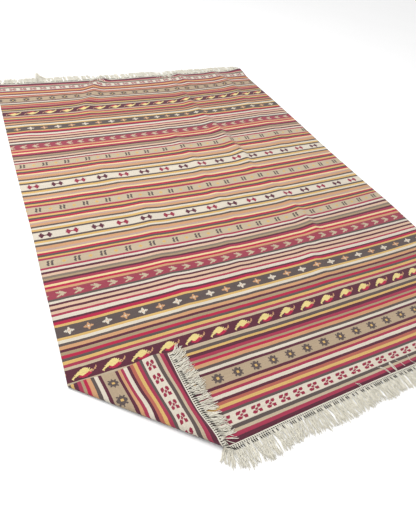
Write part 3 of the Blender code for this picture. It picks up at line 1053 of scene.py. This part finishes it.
def stray_group(generator):
    """Single warps that lie back over the near border."""
    paths = []
    for across, along, to_across, to_along, yarns in STRAY_ROWS:
        bundle = yarns > 1
        for _ in range(yarns):
            start = generator.normal(0.0, STRAY_ROOTS_SPREAD * bundle, 2)
            start = np.array([across, along]) + start
            stop = generator.normal(0.0, STRAY_TIPS_SPREAD * bundle, 2)
            stop = np.array([to_across, to_along]) + stop
            part = np.linspace(0.0, 1.0, YARN_POINTS)[:, None]
            bow = np.array([start[1] - stop[1], stop[0] - start[0]])
            bow = bow * generator.normal(0.0, STRAY_BOW)
            flat = start + (stop - start) * part + bow * np.sin(math.pi * part)
            flat = flat - (MIDDLE_ACROSS, MIDDLE_ALONG)
            points = np.column_stack([flat, np.zeros(YARN_POINTS)])
            stacked = generator.uniform(0, STRAY_STACK)
            points[:, 2] = support_height(points) + STRAY_RADIUS + stacked
            paths.append(points)
    paths = np.stack(paths)
    return paths, np.full(paths.shape[:2], STRAY_RADIUS), YARN_SIDES, YARN_TWIST


def make_fringe(end, habits, partings, sizes, materials):
    """One end's heading, knots, loose yarns, and dark yarns that are partly twining and partly
    painted shade in the gaps, as three pieces.
    """
    generator = np.random.default_rng(SEED if end == "near" else SEED + 1)
    locks = np.arange(FIRST_LOCK + 0.5 * LOCK_PITCH, LAST_LOCK, LOCK_PITCH)
    between = locks[:-1] + 0.5 * LOCK_PITCH
    # The gaps between locks that get a dark dash: painted shadow there, partly dark twining yarn
    shown = between[generator.uniform(0.0, 1.0, len(between)) < DARK_SHARE]
    yarns = loose_yarns(end, habits, partings, sizes, generator)
    if end == "far":
        gather_to_peak(yarns, generator)
        for start, stop, share in FALLEN_ROWS:
            fall_inward(yarns, start, stop, share, generator)
    groups = [yarn_group(yarns, generator)]
    if end == "near":
        groups.append(stray_group(generator))
    loose = tube_piece(f"{end}_fringe_yarns", groups, materials["warp"])
    heading = tube_piece(
        f"{end}_fringe_heading",
        [heading_cord(end), short_tubes(end, locks, KNOT_SHAPE, KNOT_LEAN, KNOT_HEIGHT)],
        materials["warp"],
    )
    # Dark twining yarn that also paints the shade in the gaps between the knots and between the
    # locks
    gap_shade_stitches = tube_piece(
        f"{end}_fringe_stitches",
        [
            short_tubes(end, between, GAP_SHADE_STITCH_SHAPE, GAP_SHADE_STITCH_LEAN, GAP_SHADE_STITCH_HEIGHT),
            short_tubes(end, shown, DARK_SHAPE, DARK_LEAN, DARK_HEIGHT),
        ],
        materials["gap_shade_stitch"],
    )
    return loose, heading, gap_shade_stitches


class Wiring:
    """Adds nodes to a material and joins them; a value is a socket, a number or a colour."""

    def __init__(self, name):
        self.material = bpy.data.materials.new(name)
        self.material.use_nodes = True
        self.tree = self.material.node_tree
        self.shader = self.tree.nodes["Principled BSDF"]

    def put(self, socket, value):
        if isinstance(value, bpy.types.NodeSocket):
            self.tree.links.new(value, socket)
        else:
            socket.default_value = value

    def add(self, kind, values=(), **settings):
        node = self.tree.nodes.new(kind)
        for name, setting in settings.items():
            setattr(node, name, setting)
        for socket, value in dict(values).items():
            self.put(node.inputs[socket], value)
        return node

    def math(self, operation, *values):
        node = self.add("ShaderNodeMath", dict(enumerate(values)), operation=operation)
        return node.outputs[0]

    def mix(self, share, first, second):
        values = {0: share, 6: first, 7: second}
        return self.add("ShaderNodeMix", values, data_type="RGBA").outputs[2]

    def blend(self, share, first, second):
        values = {0: share, 2: first, 3: second}
        return self.add("ShaderNodeMix", values, data_type="FLOAT").outputs[0]

    def noise(self, vector, scale, detail=2.0, roughness=0.5):
        values = {"Vector": vector, "Scale": scale, "Detail": detail, "Roughness": roughness}
        return self.add("ShaderNodeTexNoise", values).outputs["Fac"]

    def place(self, x, y, z=0.0):
        return self.add("ShaderNodeCombineXYZ", {0: x, 1: y, 2: z}).outputs[0]

    def finish(self, values, height, strength, distance):
        """Sets plain values of the shader, and a bump from a height."""
        for name, value in values.items():
            self.shader.inputs[name].default_value = value
        bump = self.add("ShaderNodeBump", {"Height": height})
        bump.inputs["Strength"].default_value = strength
        bump.inputs["Distance"].default_value = distance
        self.put(self.shader.inputs["Normal"], bump.outputs[0])

    def spread(self, noise, strength):
        """A noise turned into a value about zero."""
        return self.math("MULTIPLY", self.math("SUBTRACT", noise, 0.5), strength)

    def ramp(self, place, stops):
        """A ramp of plain steps: rows of where each step starts and its four values."""
        node = self.add("ShaderNodeValToRGB", {0: place})
        elements = node.color_ramp.elements
        node.color_ramp.interpolation = "CONSTANT"
        for number, (start, colour) in enumerate(stops):
            if number > 1:
                elements.new(start)
            elements[number].position = start
            elements[number].color = colour
        while len(elements) > len(stops):
            elements.remove(elements[-1])
        return node.outputs[0]

    def curve(self, place, points):
        """A smooth curve over 0 to 1 through points."""
        node = self.add("ShaderNodeFloatCurve", {1: place})
        line = node.mapping.curves[0]
        for x, y in points[1:-1]:
            line.points.new(x, y)
        line.points[0].location = points[0]
        line.points[-1].location = points[-1]
        node.mapping.update()
        return node.outputs[0]


def dye(name):
    """A dye as a colour in linear light."""
    shares = [part / 255.0 for part in DYES[name]]
    strength = WARP_STRENGTH if name == "warp" else DYE_STRENGTH
    return (*(strength * ((share + 0.055) / 1.055) ** 2.4 for share in shares), 1.0)


def stripe_rows():
    """Rows of start and stop in metres, dye and motifs, from the near end to the middle."""
    total = FIRST_STRIPE + MM * (sum(row[1] for row in STRIPES) - 0.5 * STRIPES[-1][1])
    scale = 0.5 * LENGTH / total
    rows = []
    start = FIRST_STRIPE
    for name, width, *motifs in STRIPES:
        stop = start + MM * width
        rows.append((start * scale, stop * scale, name, motifs[0] if motifs else ""))
        start = stop
    return rows


def weave_stripes(wiring, woven, rows):
    """The colour of the plain stripes, from a few ramps one after the other."""
    colour = None
    for first in range(0, len(rows), STRIPES_PER_RAMP):
        group = rows[first:first + STRIPES_PER_RAMP]
        low, high = group[0][0], group[-1][1]
        place = wiring.math("DIVIDE", wiring.math("SUBTRACT", woven, low), high - low)
        stops = [((start - low) / (high - low), dye(name)) for start, _, name, _ in group]
        stripes = wiring.ramp(place, stops)
        if colour is None:
            colour = stripes
        else:
            colour = wiring.mix(wiring.math("GREATER_THAN", woven, low), colour, stripes)
    return colour


def numbers_at(rows, across):
    """The number of the motif at places across, running on evenly past the table's ends."""
    numbers = np.array([row[0] for row in rows], float)
    places = np.array([row[1] for row in rows], float)
    inside = fair_curve(places, numbers, across)
    first = (numbers[1] - numbers[0]) / (places[1] - places[0])
    last = (numbers[-1] - numbers[-2]) / (places[-1] - places[-2])
    before = np.minimum(across - places[0], 0.0) * first
    after = np.maximum(across - places[-1], 0.0) * last
    return inside + before + after


def motif_number(wiring, share, band, half_places):
    """The number, with its fraction, of the motif at a place across one half's band."""
    places = np.linspace(0.0, 1.0, CURVE_POINTS)
    numbers = numbers_at(half_places[band], places * WIDTH) + 1.0
    points = [(x, y / MOST_MOTIFS) for x, y in zip(places.tolist(), numbers.tolist())]
    return wiring.math("MULTIPLY", wiring.curve(share, points), MOST_MOTIFS)


def chart_ramp(wiring, column, chart, marks):
    """A ramp whose red, green and blue hold each chart column's marks as binary numbers."""
    width = len(chart[0]) + 2
    stops = []
    for number in range(width):
        values = []
        for mark in marks:
            bits = 0
            for row, line in enumerate(reversed(chart)):
                if ("." + line + ".")[number] == mark:
                    bits += 2 ** (row + 1)
            values.append(bits / CHART_SCALE)
        values += [0.0] * (3 - len(values))
        stops.append((number / width, (*values, 1.0)))
    return wiring.ramp(wiring.math("DIVIDE", column, width), stops)


def weave_motif(wiring, colour, woven, number, is_far, middle, row):
    """Lays one charted motif over the colour of its band."""
    name, dyes, others, step_across, step_along, shift = row
    chart = CHARTS[name]
    pitch = wiring.math("ADD", number[0], shift + 0.5)
    side = wiring.math("SUBTRACT", wiring.math("FRACT", pitch), 0.5)
    facing = wiring.math("SUBTRACT", 1.0, wiring.math("MULTIPLY", is_far, 2.0))
    side = wiring.math("MULTIPLY", wiring.math("MULTIPLY", side, number[1]), facing)
    column = wiring.math(
        "MULTIPLY_ADD", side, 1.0 / (MM * step_across), 0.5 * len(chart[0]) + 1.0
    )
    bits = chart_ramp(wiring, column, chart, list(dyes))
    parts = wiring.add("ShaderNodeSeparateColor", {0: bits}).outputs
    base = middle - 0.5 * len(chart) * MM * step_along
    level = wiring.math("DIVIDE", wiring.math("SUBTRACT", woven, base), MM * step_along)
    level = wiring.math("MAXIMUM", wiring.math("ADD", wiring.math("FLOOR", level), 1.0), 0.0)
    level = wiring.math("MINIMUM", level, len(chart) + 1.0)
    weight = wiring.math("POWER", 2.0, level)
    second = wiring.math("MODULO", wiring.math("FLOOR", pitch), 2.0)
    for place, mark in enumerate(dyes):
        packed = wiring.math("MULTIPLY_ADD", parts[place], CHART_SCALE, 0.25)
        whole = wiring.math("FLOOR", wiring.math("DIVIDE", packed, weight))
        marked = wiring.math("GREATER_THAN", wiring.math("MODULO", whole, 2.0), 0.5)
        yarn = dye(dyes[mark])
        if mark in others:
            yarn = wiring.mix(second, yarn, dye(others[mark]))
        colour = wiring.mix(marked, colour, yarn)
    return colour


def weave_bump(wiring, across, woven):
    """The height of the weave: round wefts that pass over and under the hidden warps."""
    line = wiring.math("DIVIDE", woven, WEFT_PITCH)
    odd = wiring.math("MODULO", wiring.math("FLOOR", line), 2.0)
    warp = wiring.math("DIVIDE", across, WARP_PITCH)
    warp = wiring.math("ADD", warp, wiring.math("MULTIPLY", odd, 0.5))
    over = wiring.math("ABSOLUTE", wiring.math("SINE", wiring.math("MULTIPLY", warp, math.pi)))
    inside = wiring.math("MULTIPLY", wiring.math("FRACT", line), math.pi)
    round_weft = wiring.math("MULTIPLY", wiring.math("SINE", inside), 0.6)
    return wiring.math("MULTIPLY", over, wiring.math("ADD", round_weft, 0.4))


def make_wool():
    """The cloth: dyed weft in stripes with charted motifs, slightly uneven in tone."""
    wiring = Wiring("wool")
    weave = wiring.add("ShaderNodeUVMap", uv_map="weave").outputs[0]
    parts = wiring.add("ShaderNodeSeparateXYZ", {0: weave}).outputs
    across, straight = parts[0], parts[1]
    waver = wiring.noise(wiring.place(across, straight), WAVER_SCALE, 3.0)
    waver = wiring.spread(waver, WEFT_WAVER)
    stretched = wiring.place(wiring.math("MULTIPLY", across, FRAY_STRETCH), straight)
    fray = wiring.noise(stretched, FRAY_SCALE, 0.0)
    fray = wiring.spread(fray, WEFT_FRAY)
    woven = wiring.math("ADD", straight, wiring.math("ADD", waver, fray))
    is_far = wiring.math("GREATER_THAN", woven, 0.5 * LENGTH)
    folded = wiring.blend(is_far, woven, wiring.math("SUBTRACT", LENGTH, woven))
    share = wiring.math("DIVIDE", across, WIDTH)
    rows = stripe_rows()
    colour = weave_stripes(wiring, folded, rows)
    for start, stop, _, band in rows:
        if not band:
            continue
        near = motif_number(wiring, share, band, NEAR_PLACES)
        far = motif_number(wiring, share, band, FAR_PLACES)
        ends = NEAR_PLACES[band]
        pitch = (ends[-1][1] - ends[0][1]) / (ends[-1][0] - ends[0][0])
        number = (wiring.blend(is_far, near, far), pitch)
        middle = 0.5 * (start + stop)
        for motif in MOTIFS[band]:
            colour = weave_motif(wiring, colour, folded, number, is_far, middle, motif)
    colour = mottled(wiring, colour, across, straight)
    colour = shaded_below(wiring, colour)
    wiring.put(wiring.shader.inputs["Base Color"], colour)
    wiring.finish(WOOL_FINISH, weave_bump(wiring, across, straight), WOOL_BUMP, WEAVE_DEPTH)
    return wiring.material


def mottled(wiring, colour, across, straight):
    """Streaks along the wefts, cloudy tone and flecks, all slight."""
    tone = 1.0
    for across_scale, along_scale, detail, strength in (STREAK, FLECK):
        x = wiring.math("MULTIPLY", across, across_scale)
        y = wiring.math("MULTIPLY", straight, along_scale)
        noise = wiring.noise(wiring.place(x, y), 1.0, detail)
        tone = wiring.math("ADD", tone, wiring.spread(noise, strength))
    cloud = wiring.noise(wiring.place(across, straight), CLOUD_SCALE, 3.0)
    tone = wiring.math("ADD", tone, wiring.spread(cloud, CLOUD_STRENGTH))
    values = {"Value": tone, "Color": colour}
    return wiring.add("ShaderNodeHueSaturation", values).outputs[0]


def shaded_below(wiring, colour):
    """Darkens what faces down, such as the under side of the roll."""
    normal = wiring.add("ShaderNodeNewGeometry").outputs["Normal"]
    upward = wiring.add("ShaderNodeSeparateXYZ", {0: normal}).outputs[2]
    values = {0: upward, **dict(enumerate(SHADE_RANGE, 1))}
    shade = wiring.add("ShaderNodeMapRange", values).outputs[0]
    return wiring.add("ShaderNodeHueSaturation", {"Value": shade, "Color": colour}).outputs[0]


def make_yarn(name, depth):
    """Spun yarn: a tone of its own for each yarn, painted shade in the groove of the ply that winds
    round it, and fuzz.
    """
    wiring = Wiring(name)
    weave = wiring.add("ShaderNodeUVMap", uv_map="weave").outputs[0]
    parts = wiring.add("ShaderNodeSeparateXYZ", {0: weave}).outputs
    yarn = wiring.math("FLOOR", parts[0])
    own = wiring.add("ShaderNodeTexWhiteNoise", {1: yarn}, noise_dimensions="1D").outputs[0]
    around = wiring.math("MULTIPLY", wiring.math("FRACT", parts[0]), 2.0)
    turns = wiring.math("DIVIDE", parts[1], PLY_PITCH)
    wind = wiring.math("ADD", wiring.math("MULTIPLY", around, 2.0), turns)
    ply = wiring.math("ABSOLUTE", wiring.math("SINE", wiring.math("MULTIPLY", wind, math.pi)))
    tone = wiring.math("MULTIPLY_ADD", own, *YARN_TONE)
    # The groove between the plies is darker: painted shade
    shade = wiring.math("MULTIPLY_ADD", ply, depth, 1.0 - depth)
    tone = wiring.math("MULTIPLY", tone, shade)
    values = {"Value": tone, "Color": dye(name)}
    colour = wiring.add("ShaderNodeHueSaturation", values).outputs[0]
    wiring.put(wiring.shader.inputs["Base Color"], colour)
    wiring.finish(YARN_FINISH, ply, YARN_BUMP, YARN_DEPTH)
    return wiring.material


def make_floor():
    """A plain pale floor."""
    wiring = Wiring("pale_floor")
    grain = wiring.noise(wiring.add("ShaderNodeTexCoord").outputs["Object"], FLOOR_GRAIN)
    colour = wiring.mix(grain, *FLOOR_TONES)
    wiring.put(wiring.shader.inputs["Base Color"], colour)
    wiring.shader.inputs["Roughness"].default_value = FLOOR_ROUGHNESS
    mesh = bpy.data.meshes.new("floor")
    signs = ((-1, -1), (1, -1), (1, 1), (-1, 1))
    corners = [(x * FLOOR_SIZE, y * FLOOR_SIZE, FLOOR_HEIGHT) for x, y in signs]
    mesh.from_pydata(corners, [], [(0, 1, 2, 3)])
    mesh.materials.append(wiring.material)
    floor = bpy.data.objects.new("floor", mesh)
    bpy.context.scene.collection.objects.link(floor)


def make_lights():
    """White surroundings and one large soft light."""
    world = bpy.data.worlds.new("studio")
    bpy.context.scene.world = world
    world.use_nodes = True
    background = world.node_tree.nodes["Background"]
    background.inputs["Color"].default_value = (1.0, 1.0, 1.0, 1.0)
    background.inputs["Strength"].default_value = WORLD_STRENGTH
    light = bpy.data.lights.new("key", "AREA")
    light.energy = KEY_ENERGY
    light.size = KEY_SIZE
    lamp = bpy.data.objects.new("key", light)
    lamp.location = KEY_PLACE
    lamp.rotation_euler = (-Vector(KEY_PLACE)).to_track_quat("-Z", "Y").to_euler()
    bpy.context.scene.collection.objects.link(lamp)
    bpy.context.scene.view_settings.view_transform = "Standard"


def make_camera():
    """The photograph's camera."""
    data = bpy.data.cameras.new("camera")
    data.lens = CAMERA_LENS
    data.sensor_width = CAMERA_SENSOR
    camera = bpy.data.objects.new("camera", data)
    right, down, ahead = (Vector(row) for row in CAMERA_ROWS)
    turn = Matrix((right, -down, -ahead)).transposed().to_4x4()
    place = (CAMERA_ACROSS - MIDDLE_ACROSS, CAMERA_ALONG - MIDDLE_ALONG, CAMERA_HEIGHT)
    camera.matrix_world = Matrix.Translation(place) @ turn
    bpy.context.scene.collection.objects.link(camera)
    bpy.context.scene.camera = camera


def main():
    make_camera()
    make_lights()
    make_floor()
    materials = {
        "wool": make_wool(),
        "warp": make_yarn("warp", WARP_PLY_SHADE),
        # The dark twining yarn, which also paints the shade in the gaps of the heading
        "gap_shade_stitch": make_yarn("gap_shade_stitch", GAP_SHADE_STITCH_PLY_SHADE),
    }
    cloth = make_cloth(materials["wool"])
    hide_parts("rug")
    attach(cloth, "root")
    fringe = []
    ends = {
        "near": (NEAR_HABITS, NEAR_PARTINGS, NEAR_CLUMPS),
        "far": (FAR_HABITS, FAR_PARTINGS, FAR_CLUMPS),
    }
    for end, (habits, partings, sizes) in ends.items():
        pieces = make_fringe(end, habits, partings, sizes, materials)
        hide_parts(f"fringe_{end}")
        fringe += pieces
    for piece in fringe:
        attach(piece, "root")


main()
